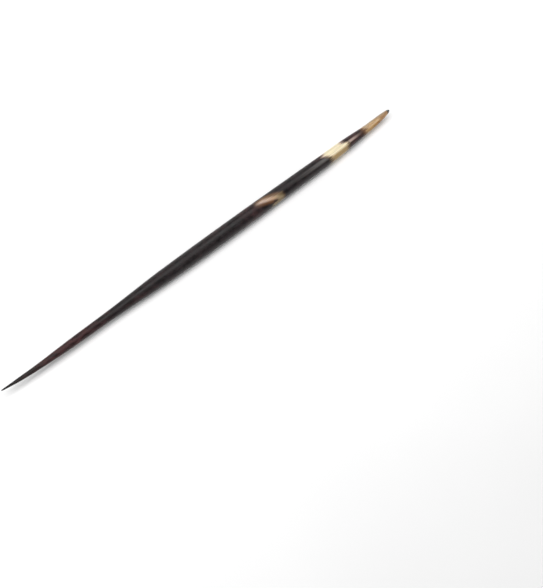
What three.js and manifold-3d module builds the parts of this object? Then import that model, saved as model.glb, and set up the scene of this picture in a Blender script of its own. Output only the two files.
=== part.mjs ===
import * as THREE from 'three';
import { mergeVertices } from 'three/addons/utils/BufferGeometryUtils.js';
import Module from 'manifold-3d';

// One porcupine quill: a slender spindle of keratin, grown in one piece. It is drawn out to a
// needle tip at -X, swells to a belly, and is pinched in at +X to the short neck that sat in the
// skin. It lies on its belly with both ends off the surface.
// Millimetres, +Z up. The origin is on that surface, midway between the tip and the root's end.

const LENGTH = 230;
const BELLY_RADIUS = 3.7;
const BELLY_WEAR = 0.16; // depth of the small flat that the belly rests on

// The outline, tip to root: distance from the tip, radius.
const OUTLINE = [
  [0, 0],
  [1.2, 0.36],
  [4.5, 0.6],
  [10, 0.97],
  [22, 1.42],
  [38, 1.99],
  [58, 2.26],
  [72, 2.72],
  [86, 3.3],
  [102, 3.6],
  [116, BELLY_RADIUS],
  [138, 3.66],
  [156, 3.5],
  [170, 3.32],
  [184, 3.16],
  [194, 3.0],
  [200, 2.8],
  [206.5, 2.44],
  [212.5, 2.08],
  [219, 1.85],
  [225, 1.45],
  [228.2, 1.0],
  [229.6, 0.48],
  [LENGTH, 0],
];

// The bends: the needle lifts off the surface and bows a little to one side, its tip turns aside,
// the shoulder before the root steps over a little, and the root turns aside and up.
const NEEDLE_BEND_AT = 120;
const NEEDLE_LIFT = 1.4;
const BOW_FROM = 24;
const BOW_TO = 116;
const BOW = 0.17;
const TIP_BEND_AT = 24;
const TIP_SWAY = 1;
const SHOULDER_FROM = 184;
const SHOULDER_TO = 208;
const SHOULDER = 0.33;
const ROOT_BEND_AT = 208;
const ROOT_LIFT = 0.8;
const ROOT_SWAY = 0.9;

const SIDES = 24;
const RINGS = 110;

const keratin = new THREE.MeshStandardMaterial({
  name: 'keratin',
  color: 0x3a3433,
  roughness: 0.5,
  metalness: 0,
});

// How far a bend has come at a distance from the tip: 0 before it starts, 1 at the end.
function bendShare(along, start, end) {
  return Math.max(0, (along - start) / (end - start));
}

// The centre line's height and sideways drift at a distance from the tip.
function centreLine(along) {
  const needle = bendShare(along, NEEDLE_BEND_AT, 0) ** 2.5;
  const tip = bendShare(along, TIP_BEND_AT, 0) ** 2;
  const root = bendShare(along, ROOT_BEND_AT, LENGTH) ** 2;
  const bow = Math.sin(Math.PI * Math.min(1, bendShare(along, BOW_FROM, BOW_TO))) ** 2;
  const shoulder = THREE.MathUtils.smoothstep(along, SHOULDER_FROM, SHOULDER_TO);
  return {
    height: BELLY_RADIUS - BELLY_WEAR + NEEDLE_LIFT * needle + ROOT_LIFT * root,
    drift: BOW * bow + TIP_SWAY * tip + SHOULDER * shoulder + ROOT_SWAY * root,
  };
}

// A closed spindle turned about X, from 0 at the tip to LENGTH at the root.
function turnedSpindle() {
  const outline = new THREE.SplineCurve(OUTLINE.map(([along, radius]) => new THREE.Vector2(radius, along)));
  const spindle = new THREE.LatheGeometry(outline.getPoints(RINGS), SIDES);
  spindle.rotateZ(-Math.PI / 2);
  return spindle;
}

// Moves each section of the spindle to the centre line, and the whole to the origin.
function bend(spindle) {
  const position = spindle.getAttribute('position');
  for (let i = 0; i < position.count; i += 1) {
    const along = position.getX(i);
    const { height, drift } = centreLine(along);
    position.setXYZ(i, along - LENGTH / 2, position.getY(i) + drift, position.getZ(i) + height);
  }
  return spindle;
}

// A closed geometry as a solid, without the faces that have shrunk to a line at the poles.
function toSolid(wasm, geometry) {
  const bare = geometry.clone();
  bare.deleteAttribute('normal');
  bare.deleteAttribute('uv');
  const merged = mergeVertices(bare, 1e-5);
  const index = merged.getIndex();
  const triangles = [];
  for (let i = 0; i < index.count; i += 3) {
    const [a, b, c] = [index.getX(i), index.getX(i + 1), index.getX(i + 2)];
    if (a !== b && b !== c && c !== a) {
      triangles.push(a, b, c);
    }
  }
  return new wasm.Manifold(new wasm.Mesh({
    numProp: 3,
    vertProperties: new Float32Array(merged.getAttribute('position').array),
    triVerts: new Uint32Array(triangles),
  }));
}

function toGeometry(solid) {
  const mesh = solid.getMesh();
  const geometry = new THREE.BufferGeometry();
  geometry.setAttribute('position', new THREE.BufferAttribute(new Float32Array(mesh.vertProperties), 3));
  geometry.setIndex(Array.from(mesh.triVerts));
  geometry.computeVertexNormals();
  return geometry;
}

// A block just under the surface, to cut the flat that the belly rests on.
function surfaceBlock() {
  const depth = 4 * BELLY_RADIUS;
  const block = new THREE.BoxGeometry(2 * LENGTH, depth, depth);
  block.translate(0, 0, -depth / 2);
  return block;
}

const wasm = await Module();
wasm.setup();

const body = toSolid(wasm, bend(turnedSpindle()));
const resting = body.subtract(toSolid(wasm, surfaceBlock()));

const quill = new THREE.Mesh(toGeometry(resting), keratin);
quill.name = 'quill';

const part = new THREE.Group();
part.add(quill);

export default part;
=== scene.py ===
"""One porcupine quill lying on a pale surface, seen from above.

The quill is a single mesh that stands for the solid of the same outline and centre line. It adds
what keratin has close up: lengthwise ridges, the slanted and banded markings with their feathered
edges, and the wrinkled tan root. Lengths along the quill are millimetres from the tip, and angles
around it are degrees from the top, positive towards the viewer's side (-Y).
"""

import math

import bpy
import numpy as np
from mathutils import Matrix, Vector


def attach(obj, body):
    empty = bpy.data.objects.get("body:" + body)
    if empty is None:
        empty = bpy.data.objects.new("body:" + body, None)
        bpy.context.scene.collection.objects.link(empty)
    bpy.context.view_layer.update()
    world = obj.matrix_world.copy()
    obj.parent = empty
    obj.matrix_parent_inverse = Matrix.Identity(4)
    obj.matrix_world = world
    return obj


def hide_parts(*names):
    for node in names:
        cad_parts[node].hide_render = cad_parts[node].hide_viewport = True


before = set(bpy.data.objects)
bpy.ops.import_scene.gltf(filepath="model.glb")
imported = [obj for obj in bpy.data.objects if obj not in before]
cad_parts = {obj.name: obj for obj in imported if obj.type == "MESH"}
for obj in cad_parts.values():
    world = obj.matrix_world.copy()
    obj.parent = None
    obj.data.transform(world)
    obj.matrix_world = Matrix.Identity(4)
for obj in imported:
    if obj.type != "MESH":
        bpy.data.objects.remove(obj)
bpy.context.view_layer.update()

MM = 0.001

# The quill's form, as in the solid
LENGTH = 230
BELLY_RADIUS = 3.7
BELLY_WEAR = 0.16
OUTLINE = [  # distance from the tip, radius
    (0, 0),
    (1.2, 0.36),
    (4.5, 0.6),
    (10, 0.97),
    (22, 1.42),
    (38, 1.99),
    (58, 2.26),
    (72, 2.72),
    (86, 3.3),
    (102, 3.6),
    (116, BELLY_RADIUS),
    (138, 3.66),
    (156, 3.5),
    (170, 3.32),
    (184, 3.16),
    (194, 3.0),
    (200, 2.8),
    (206.5, 2.44),
    (212.5, 2.08),
    (219, 1.85),
    (225, 1.45),
    (228.2, 1.0),
    (229.6, 0.48),
    (LENGTH, 0),
]
NEEDLE_BEND_AT = 120
NEEDLE_LIFT = 1.4
BOW_FROM = 24
BOW_TO = 116
BOW = 0.17
TIP_BEND_AT = 24
TIP_SWAY = 1
SHOULDER_FROM = 184
SHOULDER_TO = 208
SHOULDER = 0.33
ROOT_BEND_AT = 208
ROOT_LIFT = 0.8
ROOT_SWAY = 0.9

# The mesh: steps of the outline's curve from one point to the next, columns round the quill, rings
# that crowd together in the parts next to both ends, and the angle of the seam, on the far side
CURVE_STEPS = 40
COLUMNS = 192
BODY_STEP = 0.5
TIP_RINGS = 20
TIP_PART = 4
TIP_CROWDING = 2
ROOT_RINGS = 40
ROOT_PART = 7
ROOT_CROWDING = 1.6
SEAM_ANGLE = 250

# The map for the bake
MAP_ROWS = 3
MAP_GAP = 0.02

# The ridges: how many go round, how deep they are, how far they wander, and over what length
RIDGES = [
    (7, 0.022, 0.5, 90),
    (13, 0.014, 0.7, 64),
    (21, 0.012, 1.1, 47),
    (29, 0.014, 1.3, 38),
    (35, 0.012, 1.2, 31),
]
WRINKLES = [
    (11, 0.045, 0.9, 9),
    (17, 0.04, 1.4, 7),
    (26, 0.03, 1.6, 5),
]
WRINKLES_AT = 209
WRINKLES_RISE = 5
WRINKLES_FALL = 3

# The crest: a blunt lengthwise edge on the viewer's side of the root half
CREST_FROM = 158
CREST_RISE = 16
CREST_TO = 209
CREST_FALL = 10
CREST_ANGLE = 33
CREST_HEIGHT = 0.28
CREST_REACH = 0.9

# The slanted streak, the pale flank under it with its fringe, and the dark spot between them
STREAK_START = 145
STREAK_LENGTH = 14.5
STREAK_FROM_ANGLE = -8
STREAK_TO_ANGLE = 62
STREAK_CURVE = 1.68
STREAK_ABOVE = 0.85
STREAK_BELOW = 0.82
FLANK_START = 156
FLANK_END = 159.1
FLANK_FROM_ANGLE = 32
FLANK_TO_ANGLE = 122
FRINGE_START = 152.4
FRINGE_ANGLES = (58, 72)
SPOT_AT = 154.6
SPOT_ANGLE = 52
SPOT_SQUEEZE = 0.7

# The cream band: it starts on a slant, with a chip into the dark, and ends later on its low side
CREAM_START = 187.4
CREAM_SLANT = 3.2
CREAM_SLANT_TURN = 5
CREAM_CHIP = 1.4
CREAM_CHIP_ANGLE = -17
CREAM_CHIP_WIDTH = 9
CREAM_END = 198.9
CREAM_LOW_END = 201.7
CREAM_LOW_ANGLES = (-10, 14)
CREAM_HEEL_END = 200.9
CREAM_HEEL_ANGLES = (36, 54)

# The lane along which faint pale strands, partly a painted highlight, lead into the band, and a painted
# highlight, the tongue, leads out of it
LANE_ANGLE = 20

# The camera: the quill's tip and root land where the photograph has them
CAMERA_ELEVATION = 65
CAMERA_TURN = 39.615
CAMERA_DISTANCE = 0.6
CAMERA_AIM = Vector((0.0086, -0.03702, 0))
CAMERA_LENS = 79.734


# ---------------------------------------------------------------- form


def catmull_rom(points, steps):
    """Points on a uniform Catmull-Rom curve, whose ends are doubled."""
    p = np.array(points, float)
    p = np.vstack([p[0], p, p[-1]])
    t = np.linspace(0, 1, steps, endpoint=False)[:, None]
    runs = []
    for a, b, c, d in zip(p, p[1:], p[2:], p[3:]):
        into = (c - a) / 2
        out = (d - b) / 2
        cubic = 2 * b - 2 * c + into + out
        square = 3 * c - 3 * b - 2 * into - out
        runs.append(cubic * t**3 + square * t**2 + into * t + b)
    return np.vstack(runs + [p[-1:]])


OUTLINE_CURVE = catmull_rom(OUTLINE, CURVE_STEPS)


def outline_radius(along):
    return np.interp(along, OUTLINE_CURVE[:, 0], OUTLINE_CURVE[:, 1])


def bend_share(along, start, end):
    """How far a bend has come: 0 before it starts, 1 at the end."""
    return np.maximum(0, (along - start) / (end - start))


def smooth(value, low, high):
    """0 below low, 1 above high, and an S between them."""
    t = np.clip((value - low) / (high - low), 0, 1)
    return t * t * (3 - 2 * t)


def centre_line(along):
    """Height above the surface and sideways drift."""
    needle = bend_share(along, NEEDLE_BEND_AT, 0) ** 2.5
    tip = bend_share(along, TIP_BEND_AT, 0) ** 2
    root = bend_share(along, ROOT_BEND_AT, LENGTH) ** 2
    bow = np.sin(math.pi * np.minimum(1, bend_share(along, BOW_FROM, BOW_TO))) ** 2
    shoulder = smooth(along, SHOULDER_FROM, SHOULDER_TO)
    height = BELLY_RADIUS - BELLY_WEAR + NEEDLE_LIFT * needle + ROOT_LIFT * root
    return height, BOW * bow + TIP_SWAY * tip + SHOULDER * shoulder + ROOT_SWAY * root


def wandering_waves(waves, along, angle):
    """How deep the grooves between lengthwise ridges are, 0 on top of them.

    The bare numbers only keep the sets of waves out of step with one another.
    """
    depth = 0
    for i, (count, deepest, wander, length) in enumerate(waves):
        phase = wander * np.sin(along * math.tau / length + 1.7 * i) + 2.4 * i
        strength = 0.65 + 0.35 * np.sin(along * math.tau / (1.9 * length) + angle + i)
        depth = depth + deepest * strength * (0.5 - 0.5 * np.cos(count * angle + phase))
    return depth


def signed_degrees(angle):
    """Degrees from the top, from SEAM_ANGLE - 360 to SEAM_ANGLE."""
    degrees = np.degrees(angle)
    return np.where(degrees > SEAM_ANGLE, degrees - 360, degrees)


def around(degrees, middle, along):
    """Distance around the quill from an angle, in millimetres."""
    return (degrees - middle) * np.radians(outline_radius(along))


def relief(along, angle):
    """Depth below the outline: ridges all along, wrinkles on the root, less the crest's height."""
    size = outline_radius(along) / BELLY_RADIUS
    on_root = smooth(along, WRINKLES_AT, WRINKLES_AT + WRINKLES_RISE)
    on_root = on_root * smooth(LENGTH - along, 0, WRINKLES_FALL)
    on_crest = smooth(along, CREST_FROM, CREST_FROM + CREST_RISE)
    on_crest = on_crest * smooth(CREST_TO - along, 0, CREST_FALL)
    from_crest = np.abs(around(signed_degrees(angle), CREST_ANGLE, along))
    ridges = wandering_waves(RIDGES, along, angle) * size
    wrinkles = wandering_waves(WRINKLES, along, angle) * on_root
    return ridges + wrinkles - CREST_HEIGHT * on_crest * np.exp(-from_crest / CREST_REACH)


def ring_places():
    """Distances of the rings from the tip, closer together towards both ends."""
    tip = TIP_PART * np.linspace(0, 1, TIP_RINGS, endpoint=False) ** TIP_CROWDING
    body = np.arange(TIP_PART, LENGTH - ROOT_PART, BODY_STEP)
    root = LENGTH - ROOT_PART * np.linspace(1, 0, ROOT_RINGS) ** ROOT_CROWDING
    return np.concatenate([tip, body, root])


# ---------------------------------------------------------------- markings


def streak_offset(along, degrees):
    """Distance from the slanted streak's middle line, in millimetres, positive on its low side."""
    share = np.clip((along - STREAK_START) / STREAK_LENGTH, 0, 1)
    middle = STREAK_FROM_ANGLE + (STREAK_TO_ANGLE - STREAK_FROM_ANGLE) * share**STREAK_CURVE
    return around(degrees, middle, along)


def flank_depth(along, degrees):
    """How deep a point is in the pale patch below the streak, which reaches back in a fringe."""
    start = FLANK_START + (FRINGE_START - FLANK_START) * smooth(degrees, *FRINGE_ANGLES)
    ends = np.minimum(along - start, FLANK_END - along)
    sides = np.minimum(around(degrees, FLANK_FROM_ANGLE, along), around(FLANK_TO_ANGLE, degrees, along))
    return np.minimum(ends, sides)


def spot_distance(along, degrees):
    """Distance from the middle of the dark spot, squeezed along the quill so that it comes out long."""
    return np.hypot((along - SPOT_AT) * SPOT_SQUEEZE, around(degrees, SPOT_ANGLE, along))


def cream_depth(along, degrees):
    """How deep a point is in the cream band, in millimetres."""
    slant = CREAM_SLANT * np.maximum(0, np.sin(np.radians(degrees + CREAM_SLANT_TURN)))
    chip = CREAM_CHIP * np.exp(-(((degrees - CREAM_CHIP_ANGLE) / CREAM_CHIP_WIDTH) ** 2))
    low = (CREAM_LOW_END - CREAM_END) * smooth(degrees, *CREAM_LOW_ANGLES)
    heel = (CREAM_HEEL_END - CREAM_LOW_END) * smooth(degrees, *CREAM_HEEL_ANGLES)
    return np.minimum(along - (CREAM_START + slant - chip), CREAM_END + low + heel - along)


def lane_offset(along, degrees):
    """Distance from the line along which pale strands, partly painted highlight, lead into the band,
    and a painted highlight leads out of it and along the root.
    """
    return np.abs(around(degrees, LANE_ANGLE, along))


# ---------------------------------------------------------------- mesh


def quill_grid():
    """The rings' distances and the columns' angles."""
    return ring_places(), np.linspace(0, math.tau, COLUMNS, endpoint=False)


def quill_points(along, angle):
    """A grid of points, rings by columns, in metres, with the belly flat where it rests."""
    a = along[:, None]
    radius = np.maximum(outline_radius(a) - relief(a, angle), 0)
    height, drift = centre_line(a)
    x = np.broadcast_to(a - LENGTH / 2, radius.shape)
    y = drift - radius * np.sin(angle)
    z = np.maximum(height + radius * np.cos(angle), 0)
    return np.stack([x, y, z], axis=-1) * MM


def quill_faces(rings):
    """Quads between the rings, with a fan of triangles at each end."""
    column = np.arange(COLUMNS)
    following = (column + 1) % COLUMNS
    faces = [(0, 1 + int(b), 1 + int(a)) for a, b in zip(column, following)]
    for ring in range(rings - 1):
        near = 1 + ring * COLUMNS
        far = near + COLUMNS
        quads = np.stack([near + column, near + following, far + following, far + column], axis=1)
        faces.extend(map(tuple, quads.tolist()))
    last = 1 + rings * COLUMNS
    start = last - COLUMNS
    faces.extend((start + int(a), start + int(b), last) for a, b in zip(column, following))
    return faces


def lay_out_map(mesh, along, angle):
    """A map for the bake: the quill in lengthwise rows, one above another."""
    row_length = LENGTH / MAP_ROWS
    layer = mesh.uv_layers.new(name="OFBake")
    vertex = np.empty(len(mesh.loops), int)
    mesh.loops.foreach_get("vertex_index", vertex)
    polygon_start = np.empty(len(mesh.polygons), int)
    polygon_size = np.empty(len(mesh.polygons), int)
    mesh.polygons.foreach_get("loop_start", polygon_start)
    mesh.polygons.foreach_get("loop_total", polygon_size)
    face = np.repeat(np.arange(len(mesh.polygons)), polygon_size)
    x = along[vertex]
    turn = angle[vertex] / math.tau
    middle = np.add.reduceat(x, polygon_start) / polygon_size
    row = np.minimum(np.floor(middle / row_length), MAP_ROWS - 1)[face]
    # A face across the seam goes on past a full turn, rather than back to the start
    highest = np.maximum.reduceat(turn, polygon_start)[face]
    turn = np.where(turn < highest - 0.5, turn + 1, turn)
    uv = np.stack(
        [
            MAP_GAP + (1 - 2 * MAP_GAP) * (x / row_length - row),
            (row + MAP_GAP + (1 - 2 * MAP_GAP) * turn) / MAP_ROWS,
        ],
        axis=1,
    )
    layer.data.foreach_set("uv", np.clip(uv, 0, 1).ravel())


def add_attributes(mesh, along, angle):
    """Each vertex's place and its distances from the markings, which the material reads."""
    degrees = signed_degrees(angle)
    place = np.stack([along, np.cos(angle), np.sin(angle)], axis=1)
    mesh.attributes.new("place", "FLOAT_VECTOR", "POINT").data.foreach_set("vector", place.ravel())
    for name, distance in (
        ("streak", streak_offset),
        ("flank", flank_depth),
        ("spot", spot_distance),
        ("cream", cream_depth),
        ("highlight_lane", lane_offset),
    ):
        layer = mesh.attributes.new(name, "FLOAT", "POINT")
        layer.data.foreach_set("value", distance(along, degrees))


def make_quill():
    along, angle = quill_grid()
    rings = along[1:-1]
    points = quill_points(rings, angle)
    ends = quill_points(along[[0, -1]], angle)
    vertices = np.vstack([ends[0, 0], points.reshape(-1, 3), ends[1, 0]])
    mesh = bpy.data.meshes.new("quill_shaft")
    mesh.from_pydata(vertices.tolist(), [], quill_faces(len(rings)))
    mesh.shade_smooth()

    vertex_along = np.concatenate([[0], np.repeat(rings, COLUMNS), [LENGTH]])
    vertex_angle = np.concatenate([[0], np.tile(angle, len(rings)), [0]])
    lay_out_map(mesh, vertex_along, vertex_angle)
    add_attributes(mesh, vertex_along, vertex_angle)

    quill = bpy.data.objects.new("quill_shaft", mesh)
    bpy.context.scene.collection.objects.link(quill)
    return quill


# ---------------------------------------------------------------- materials


class Nodes:
    """A short way to write a material's nodes."""

    def __init__(self, tree):
        self.tree = tree
        tree.nodes.clear()

    def add(self, kind, inputs=None, **settings):
        node = self.tree.nodes.new(kind)
        for name, value in settings.items():
            setattr(node, name, value)
        for name, value in (inputs or {}).items():
            self.feed(node.inputs[name], value)
        return node

    def feed(self, socket, value):
        if isinstance(value, bpy.types.NodeSocket):
            self.tree.links.new(value, socket)
        else:
            socket.default_value = value

    def math(self, operation, *values):
        node = self.add("ShaderNodeMath", operation=operation)
        for socket, value in zip(node.inputs, values):
            self.feed(socket, value)
        return node.outputs[0]

    def attribute(self, name, output="Fac"):
        return self.add("ShaderNodeAttribute", attribute_name=name).outputs[output]

    def times(self, first, *others):
        for other in others:
            first = self.math("MULTIPLY", first, other)
        return first

    def shifted(self, value, feather, reach):
        """A distance moved to and fro by noise, so that an edge drawn from it is feathered."""
        return self.math("ADD", value, self.times(feather, reach))

    def centred(self, noise):
        """Noise, whose middle is 0.5, moved to have it at 0."""
        return self.math("SUBTRACT", noise, 0.5)

    def stretch(self, vector, scale):
        node = self.add("ShaderNodeVectorMath", operation="MULTIPLY")
        self.feed(node.inputs[0], vector)
        self.feed(node.inputs[1], scale)
        return node.outputs[0]

    def noise(self, vector, grain, detail=2, roughness=0.5):
        stretched = self.stretch(vector, grain)
        inputs = {"Vector": stretched, "Scale": 1, "Detail": detail, "Roughness": roughness}
        return self.add("ShaderNodeTexNoise", inputs).outputs["Fac"]

    def ramp(self, value, low, high, stops):
        """A colour ramp whose stops are given in the value's own units."""
        node = self.add("ShaderNodeValToRGB")
        span = self.add("ShaderNodeMapRange", {"Value": value, "From Min": low, "From Max": high})
        self.feed(node.inputs[0], span.outputs[0])
        elements = node.color_ramp.elements
        while len(elements) < len(stops):
            elements.new(0.5)
        for element, (place, colour) in zip(elements, stops):
            element.position = (place - low) / (high - low)
            element.color = (*colour, 1)
        return node.outputs["Color"]

    def mix(self, share, first, second, blend="MIX"):
        """Two colours mixed: they are the node's inputs 6 and 7, and the result is output 2."""
        node = self.add("ShaderNodeMix", data_type="RGBA", blend_type=blend)
        self.feed(node.inputs["Factor"], share)
        self.feed(node.inputs[6], first)
        self.feed(node.inputs[7], second)
        return node.outputs[2]

    def paint(self, share, surface, colour):
        """The surface with a share of one plain colour over it."""
        return self.mix(share, surface, (*colour, 1))

    def shade(self, surface, value):
        """The surface made lighter or darker by a factor."""
        return self.mix(1.0, surface, self.grey(value), blend="MULTIPLY")

    def share(self, value, low, high, to_low=0, to_high=1):
        """One value at low, another at high, smooth between them."""
        span = {"From Min": low, "From Max": high, "To Min": to_low, "To Max": to_high}
        node = self.add("ShaderNodeMapRange", {"Value": value, **span}, interpolation_type="SMOOTHSTEP")
        return node.outputs[0]

    def grey(self, value):
        return self.add("ShaderNodeCombineXYZ", {"X": value, "Y": value, "Z": value}).outputs[0]


# Colours: red, green and blue, linear
INK = (0.0075, 0.0072, 0.0070)
CHARCOAL = (0.0092, 0.0058, 0.0064)
PLUM = (0.030, 0.0092, 0.0095)
WINE = (0.022, 0.0085, 0.009)
UMBER = (0.040, 0.019, 0.010)
RUST = (0.115, 0.050, 0.022)
CINNAMON = (0.15, 0.085, 0.045)
BROWN = (0.145, 0.10, 0.072)
PINK = (0.49, 0.37, 0.30)
SAND = (0.45, 0.30, 0.20)
KHAKI = (0.33, 0.245, 0.145)
OLIVE = (0.185, 0.138, 0.07)
CREAM = (0.72, 0.64, 0.44)
# The cream band's low side: partly its own colour, partly painted shade
DUSK_AND_SHADE = (0.375, 0.258, 0.115)
MOSS = (0.11, 0.075, 0.038)
MAUVE = (0.24, 0.175, 0.15)
ASHES_HIGHLIGHT = (0.37, 0.275, 0.235)
ASH = (0.085, 0.078, 0.074)
BEIGE = (0.37, 0.30, 0.21)
STRAW = (0.70, 0.50, 0.28)
PALE = (0.585, 0.41, 0.235)
TAN = (0.41, 0.29, 0.175)
AMBER = (0.34, 0.195, 0.06)
ORANGE = (0.30, 0.135, 0.04)
RUSSET = (0.32, 0.18, 0.085)
HONEY = (0.18, 0.105, 0.05)
NUB = (0.05, 0.052, 0.05)


# Noise grains: cycles per millimetre along the quill, and per radius across it
STRAND_GRAIN = (0.05, 9, 9)
FIBRE_GRAIN = (0.12, 30, 30)
WORN_GRAIN = (0.28, 1.3, 1.3)
PATCH_GRAIN = (0.045, 0.9, 0.9)
ROOT_STRAND_GRAIN = (0.2, 3.4, 3.4)
BLOTCH_GRAIN = (0.16, 1.3, 1.3)

# How far noise carries each edge to and fro: millimetres for 1, of which it reaches about 0.2
DARK_FEATHER = 24
STREAK_FEATHER = 1.3
FLANK_FEATHER = 3
SPOT_FEATHER = 1.2
LANE_FEATHER = 1.4
CREAM_FEATHER = 7
ROOT_FEATHER = 5

# Below, a name that ends in SPAN is a colour ramp's range, and one in COLOURS its stops. A pair or a
# four is what Nodes.share takes: from, to, and the values there if they aren't 0 and 1. Where a name
# ends in SIDE, 0 is the top of the quill and 1 its edge on the viewer's side.

DARK_COLOURS = [  # distance from the tip, colour
    (0, INK),
    (10, INK),
    (24, PLUM),
    (43, PLUM),
    (62, CHARCOAL),
    (134, CHARCOAL),
    (142, WINE),
    (149, CHARCOAL),
    (196, CHARCOAL),
    (208, PLUM),
    (215, UMBER),
]
PATCHES = (0.52, 0.7, 0, 0.35)
WORN_SHADE = (0.3, 0.7, 0.35, 1.75)


def dark_keratin(n, along, feather, worn, place):
    """Inky tip, plum needle, charcoal belly with faint plum patches, brown collar."""
    wandering = n.shifted(along, feather, DARK_FEATHER)
    colour = n.ramp(wandering, 0, LENGTH, DARK_COLOURS)
    patches = n.noise(place, PATCH_GRAIN)
    colour = n.paint(n.share(patches, *PATCHES), colour, PLUM)
    return n.shade(colour, n.share(worn, *WORN_SHADE))


# Along the quill
STREAK_FADES_IN = (143.5, 147.5)
STREAK_FADES_OUT = (156.5, 161.2, 1, 0)
STREAK_OPENS_ABOVE = (144, 150, 0.3, 1)
STREAK_OPENS_BELOW = (145, 152, 0.2, 1)
STREAK_SPAN = (144, 164)
STREAK_COLOURS = [(149, PINK), (153.5, SAND), (156.5, KHAKI), (159.5, OLIVE)]

# Across the streak, its flank and the spot
BROWN_ABOVE = (-2.5, -0.4)
BROWN_BELOW = (-0.4, 0.4)
RUST_ABOVE = (0, 0.8)
RUST_BELOW = (-2.6, -0.6)
CORE_ABOVE = (-0.6, 0.8)
CORE_BELOW = (-0.9, 0.6)
FLANK_EDGE = (-1.3, 1.2)
SPOT_EDGE = (1.3, 0.5)


def streak_markings(n, along, feather, surface):
    """The slanted streak, pinkish white to olive, its brown surround and the pale flank under it."""
    offset = n.shifted(n.attribute("streak"), feather, STREAK_FEATHER)
    above = n.math("ADD", offset, n.times(n.share(along, *STREAK_OPENS_ABOVE), STREAK_ABOVE))
    below = n.math("SUBTRACT", n.times(n.share(along, *STREAK_OPENS_BELOW), STREAK_BELOW), offset)
    ends = n.times(n.share(along, *STREAK_FADES_IN), n.share(along, *STREAK_FADES_OUT))

    brown = n.times(n.share(above, *BROWN_ABOVE), n.share(below, *BROWN_BELOW), ends)
    surface = n.paint(brown, surface, CINNAMON)
    rust = n.times(n.share(below, *RUST_BELOW), n.share(above, *RUST_ABOVE), ends)
    surface = n.paint(rust, surface, RUST)

    flank = n.shifted(n.attribute("flank"), feather, FLANK_FEATHER)
    surface = n.paint(n.share(flank, *FLANK_EDGE), surface, OLIVE)
    spot = n.shifted(n.attribute("spot"), feather, SPOT_FEATHER)
    surface = n.paint(n.share(spot, *SPOT_EDGE), surface, UMBER)

    core = n.times(n.share(above, *CORE_ABOVE), n.share(below, *CORE_BELOW), ends)
    return n.mix(core, surface, n.ramp(along, *STREAK_SPAN, STREAK_COLOURS))


# Along the quill
# The lead: pale strands, partly a painted highlight; the tongue: a painted highlight on the dark collar
LEAD_FADES_IN = (166, 190)
LEAD_FADES_OUT = (194, 198, 1, 0)
TONGUE_FADES_IN = (201.6, 203)
TONGUE_FADES_OUT = (204, 212, 1, 0)
TONGUE_SPAN = (200, 212)
TONGUE_HIGHLIGHT_COLOURS = [(203, ASHES_HIGHLIGHT), (208, MAUVE)]

# Across the lane
LEAD_EDGE = (1.35, 0.35)
TONGUE_EDGE = (1, 0.2)

# Into the band, and from the top of the quill to its side
CREAM_EDGE = (-2, -0.3)
CREAM_INSIDE = (0, 2.2)
# The dusky side and the lower edge's colours darken the band towards the viewer's side: partly its own
# colour, partly painted shade
CREAM_DUSK_AND_SHADE_SIDE = (0.42, 0.76)
CREAM_LOWER_SIDE = (-0.1, 0.35)
CREAM_EDGE_SPAN = (-2, 1)
UPPER_EDGE_COLOURS = [(-2, UMBER), (-1, BROWN), (0, MAUVE), (1, PINK)]
LOWER_EDGE_COLOURS = [(-2, UMBER), (-0.5, MOSS), (1, KHAKI)]


def cream_band(n, along, feather, side, surface):
    """The cream band, darker on its low side, partly its own colour and partly painted shade; the pale
    strands before it, partly painted highlight, and the painted highlight after it.
    """
    highlight_lane = n.shifted(n.attribute("highlight_lane"), feather, LANE_FEATHER)
    # The lead: faint pale strands, partly a painted highlight
    lead = n.times(n.share(highlight_lane, *LEAD_EDGE), n.share(along, *LEAD_FADES_IN))
    surface = n.paint(n.times(lead, n.share(along, *LEAD_FADES_OUT)), surface, ASH)

    depth = n.shifted(n.attribute("cream"), feather, CREAM_FEATHER)
    upper_edge = n.ramp(depth, *CREAM_EDGE_SPAN, UPPER_EDGE_COLOURS)
    lower_edge = n.ramp(depth, *CREAM_EDGE_SPAN, LOWER_EDGE_COLOURS)
    # Painted shade, in part: on the viewer's side the band's edge and inside turn darker
    edge = n.mix(n.share(side, *CREAM_LOWER_SIDE), upper_edge, lower_edge)
    inside = n.mix(n.share(side, *CREAM_DUSK_AND_SHADE_SIDE), (*CREAM, 1), (*DUSK_AND_SHADE, 1))
    band = n.mix(n.share(depth, *CREAM_INSIDE), edge, inside)
    surface = n.mix(n.share(depth, *CREAM_EDGE), surface, band)

    # The tongue: a painted highlight on the dark collar
    tongue = n.times(n.share(highlight_lane, *TONGUE_EDGE), n.share(along, *TONGUE_FADES_OUT))
    tongue = n.times(tongue, n.share(along, *TONGUE_FADES_IN))
    return n.mix(tongue, surface, n.ramp(along, *TONGUE_SPAN, TONGUE_HIGHLIGHT_COLOURS))


ROOT_SPAN = (208, 231)
ROOT_COLOURS = [  # distance from the tip, colour
    (209.5, UMBER),
    (212.2, RUST),
    (214.4, TAN),
    (216.5, STRAW),
    (220, AMBER),
    (223.5, RUSSET),
    (226, TAN),
    (228, TAN),
]
# The low side's colours: partly the root's own, partly painted shade
ROOT_LOW_SPAN = (210, 230)
ROOT_LOW_COLOURS = [(217, AMBER), (222, ORANGE), (226, RUSSET)]

# Along the quill
ROOT_FADES_IN = (209.5, 212.5)
PAST_COLLAR = (212.4, 215.2)
HIGHLIGHT_LANE_FADES_OUT = (224.5, 221)
NUB_FADES_IN = (227.6, 228.8)

# Across the root, and in its noise
# The pale lane across the root is a painted highlight along its top
PALE_HIGHLIGHT_LANE = (0.9, 0.2)
ROOT_LOW_SIDE = (0.1, 0.6, 0, 0.8)
ROOT_FAR_SIDE = (0, -0.5, 0, 0.8)
PALE_BLOTCHES = (0.52, 0.66, 0, 0.6)
RUSTY_BLOTCHES = (0.5, 0.36, 0, 0.6)
DARK_STRANDS = (0.52, 0.3, 0, 0.65)


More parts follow.
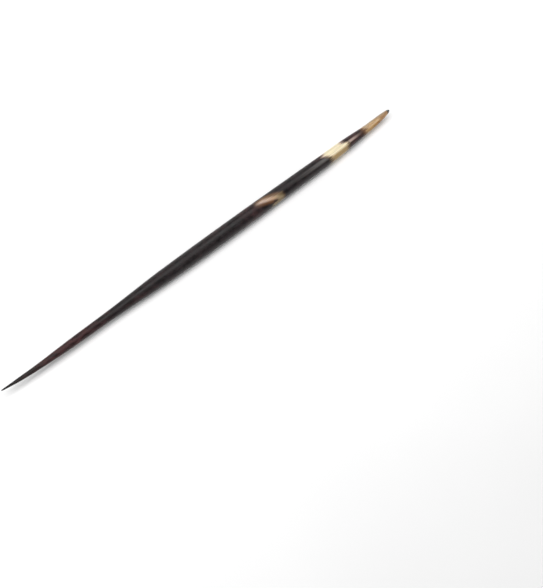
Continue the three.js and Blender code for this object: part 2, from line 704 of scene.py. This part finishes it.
def tan_root(n, along, place, side, surface):
    """Beige, golden and rusty strands, a painted highlight along the top, and the dark nub at the very
    end; the darker colours of the low side are partly painted shade.
    """
    strands = n.noise(place, ROOT_STRAND_GRAIN, detail=3, roughness=0.65)
    blotches = n.noise(place, BLOTCH_GRAIN)
    wandering = n.shifted(along, n.centred(strands), ROOT_FEATHER)
    past_collar = n.share(wandering, *PAST_COLLAR)
    # A painted highlight along the top of the root, mixed with pale blotches that are the root's own
    highlight_lane = n.times(n.share(n.attribute("highlight_lane"), *PALE_HIGHLIGHT_LANE), n.share(along, *HIGHLIGHT_LANE_FADES_OUT))
    pale = n.math("MAXIMUM", n.share(blotches, *PALE_BLOTCHES), highlight_lane)
    low = n.ramp(along, *ROOT_LOW_SPAN, ROOT_LOW_COLOURS)

    colour = n.ramp(wandering, *ROOT_SPAN, ROOT_COLOURS)
    colour = n.paint(n.times(n.share(blotches, *RUSTY_BLOTCHES), past_collar), colour, ORANGE)
    # Painted shade, in part: the root turns darker and more orange towards the viewer's side
    colour = n.mix(n.times(n.share(side, *ROOT_LOW_SIDE), past_collar), colour, low)
    colour = n.paint(n.times(pale, past_collar), colour, PALE)
    colour = n.paint(n.times(n.share(side, *ROOT_FAR_SIDE), past_collar), colour, BEIGE)
    colour = n.paint(n.share(strands, *DARK_STRANDS), colour, HONEY)
    colour = n.paint(n.share(along, *NUB_FADES_IN), colour, NUB)
    return n.mix(n.share(wandering, *ROOT_FADES_IN), surface, colour)


# How the noises add up, and what they do to shade, gloss and grain; the last two are millimetres
STRANDS_IN_FINE = 0.7
FIBRES_IN_FINE = 0.3
FINE_SHADE = (0.2, 0.8, 0.6, 1.4)
WORN_IN_GLOSS = 0.65
FIBRES_IN_GLOSS = 0.35
GLOSS_TO_ROUGHNESS = (0.36, 0.64, 0.34, 0.58)
WORN_IN_HEIGHT = 5
GRAIN_HEIGHT = 0.05
SUBSURFACE_REACH = 1.2


def keratin_material():
    """Half-gloss keratin: fibres and wear in its gloss and grain, and the markings over them."""
    material = bpy.data.materials.new("keratin")
    material.use_nodes = True
    n = Nodes(material.node_tree)
    place = n.attribute("place", "Vector")
    parts = n.add("ShaderNodeSeparateXYZ", {"Vector": place}).outputs
    along, side = parts["X"], parts["Z"]

    strands = n.noise(place, STRAND_GRAIN, detail=3, roughness=0.6)
    fibres = n.noise(place, FIBRE_GRAIN, roughness=0.6)
    worn = n.noise(place, WORN_GRAIN, detail=3, roughness=0.6)
    fine = n.math("ADD", n.times(strands, STRANDS_IN_FINE), n.times(fibres, FIBRES_IN_FINE))
    feather = n.centred(fine)
    gloss = n.math("ADD", n.times(worn, WORN_IN_GLOSS), n.times(fibres, FIBRES_IN_GLOSS))
    height = n.math("ADD", fine, n.times(worn, WORN_IN_HEIGHT))

    surface = dark_keratin(n, along, feather, worn, place)
    surface = streak_markings(n, along, feather, surface)
    surface = cream_band(n, along, feather, side, surface)
    surface = tan_root(n, along, place, side, surface)
    surface = n.shade(surface, n.share(fine, *FINE_SHADE))

    bump = n.add("ShaderNodeBump", {"Height": height, "Strength": 0.6, "Distance": GRAIN_HEIGHT * MM})
    shader = n.add("ShaderNodeBsdfPrincipled", {
        "Base Color": surface,
        "Roughness": n.share(gloss, *GLOSS_TO_ROUGHNESS),
        "Normal": bump.outputs[0],
        "IOR": 1.5,
        "Specular IOR Level": 0.27,
        "Sheen Weight": 0.12,
        "Sheen Roughness": 0.42,
        "Subsurface Weight": 0.25,
        "Subsurface Radius": (1, 0.55, 0.3),
        "Subsurface Scale": SUBSURFACE_REACH * MM,
    })
    n.add("ShaderNodeOutputMaterial", {"Surface": shader.outputs[0]})
    return material


# The board, in metres from the quill: painted shade, a falloff of light painted into its white, darkens
# it a little towards the viewer and behind
PAINTED_FALLOFF_FRONT = (-0.24, -0.04, 0.757, 0.885)
PAINTED_FALLOFF_BEHIND = (0.09, 0.16, 1, 0.96)
BOARD_GRAIN = (9, 9, 9)
BOARD_MOTTLE = (0.3, 0.7, 0.99, 1.01)


def floor_material():
    """White board, with painted shade that greys it a little away from the quill, towards the viewer
    and behind.
    """
    material = bpy.data.materials.new("white_board")
    material.use_nodes = True
    n = Nodes(material.node_tree)
    where = n.add("ShaderNodeTexCoord").outputs["Object"]
    across = n.add("ShaderNodeSeparateXYZ", {"Vector": where}).outputs["Y"]
    mottle = n.share(n.noise(where, BOARD_GRAIN, detail=3), *BOARD_MOTTLE)
    # Painted shade: the board is darkened towards the viewer and behind, where the light falls off; the
    # mottle is the board's own
    whiteness_and_painted_falloff = n.times(n.share(across, *PAINTED_FALLOFF_FRONT), n.share(across, *PAINTED_FALLOFF_BEHIND), mottle)
    shader = n.add("ShaderNodeBsdfPrincipled", {
        "Base Color": n.grey(whiteness_and_painted_falloff),
        "Roughness": 0.7,
        "Specular IOR Level": 0.2,
    })
    n.add("ShaderNodeOutputMaterial", {"Surface": shader.outputs[0]})
    return material


# ---------------------------------------------------------------- scene


# The floor and the key light, in metres
FLOOR_SIZE = 12
KEY_PLACE = (-0.2, 0.22, 1.2)
KEY_LENGTH = 2.6
KEY_WIDTH = 0.84
KEY_RADIANCE = 2.76

# The sky, in directions from the quill: from front to behind along Y, and from low to high along Z
FRONT_TO_BEHIND = (-0.3, 0.15)
LOW_TO_HIGH = (0.08, 0.55)
SKY_FRONT = 1
SKY_BEHIND = 0.22
HORIZON_BEHIND = 1.2

# The photographer's shade: its direction, and the degrees from its middle where it ends and is full
SHADE_TURN = -66
SHADE_ELEVATION = 26
SHADE_REACH = 42
SHADE_CORE = 26
SHADE_LIGHT = 0.1


def make_floor():
    half = FLOOR_SIZE / 2
    corners = [(-half, -half, 0), (half, -half, 0), (half, half, 0), (-half, half, 0)]
    mesh = bpy.data.meshes.new("floor")
    mesh.from_pydata(corners, [], [(0, 1, 2, 3)])
    mesh.materials.append(floor_material())
    floor = bpy.data.objects.new("floor", mesh)
    bpy.context.scene.collection.objects.link(floor)


def direction(turn, elevation):
    """A unit vector: turn is degrees from +X about +Z, elevation above the surface."""
    t, e = math.radians(turn), math.radians(elevation)
    return Vector((math.cos(t) * math.cos(e), math.sin(t) * math.cos(e), math.sin(e)))


def make_key_light():
    """A long softbox overhead, in line with the quill and a little behind it."""
    light = bpy.data.lights.new("key", "AREA")
    light.shape = "RECTANGLE"
    light.size = KEY_LENGTH
    light.size_y = KEY_WIDTH
    light.energy = KEY_RADIANCE * math.pi * KEY_LENGTH * KEY_WIDTH
    key = bpy.data.objects.new("key", light)
    key.location = KEY_PLACE
    bpy.context.scene.collection.objects.link(key)


def make_sky():
    """A white room, bright in front and low down behind, with the photographer's shade in it."""
    world = bpy.data.worlds.new("sky")
    world.use_nodes = True
    n = Nodes(world.node_tree)
    seen = n.add("ShaderNodeTexCoord").outputs["Generated"]
    axes = n.add("ShaderNodeSeparateXYZ", {"Vector": seen}).outputs
    shade_middle = direction(SHADE_TURN, SHADE_ELEVATION)
    toward = n.add("ShaderNodeVectorMath", {0: seen, 1: shade_middle}, operation="DOT_PRODUCT")
    edge, core = math.cos(math.radians(SHADE_REACH)), math.cos(math.radians(SHADE_CORE))
    room = n.share(axes["Y"], *FRONT_TO_BEHIND, SKY_FRONT, SKY_BEHIND)
    horizon = n.share(axes["Y"], *FRONT_TO_BEHIND, 0, HORIZON_BEHIND)
    lit = n.math("ADD", room, n.share(axes["Z"], *LOW_TO_HIGH, horizon, 0))
    strength = n.times(lit, n.share(toward.outputs["Value"], edge, core, 1, SHADE_LIGHT))
    background = n.add("ShaderNodeBackground", {"Color": (1, 1, 1, 1), "Strength": strength})
    n.add("ShaderNodeOutputWorld", {"Surface": background.outputs[0]})
    bpy.context.scene.world = world


def make_camera():
    turn, elevation = math.radians(CAMERA_TURN), math.radians(CAMERA_ELEVATION)
    flat = math.cos(elevation)
    back = Vector((-math.sin(turn) * flat, -math.cos(turn) * flat, math.sin(elevation)))
    right = Vector((math.cos(turn), -math.sin(turn), 0))
    data = bpy.data.cameras.new("camera")
    data.lens = CAMERA_LENS
    data.sensor_width = 36
    data.clip_start = 0.01
    camera = bpy.data.objects.new("camera", data)
    axes = Matrix((right, back.cross(right), back)).transposed()
    camera.matrix_world = Matrix.Translation(CAMERA_AIM + back * CAMERA_DISTANCE) @ axes.to_4x4()
    bpy.context.scene.collection.objects.link(camera)
    bpy.context.scene.camera = camera


quill = make_quill()
quill.data.materials.append(keratin_material())
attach(quill, "root")
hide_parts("quill")

make_floor()
make_key_light()
make_sky()
make_camera()
bpy.context.scene.view_settings.view_transform = "Standard"
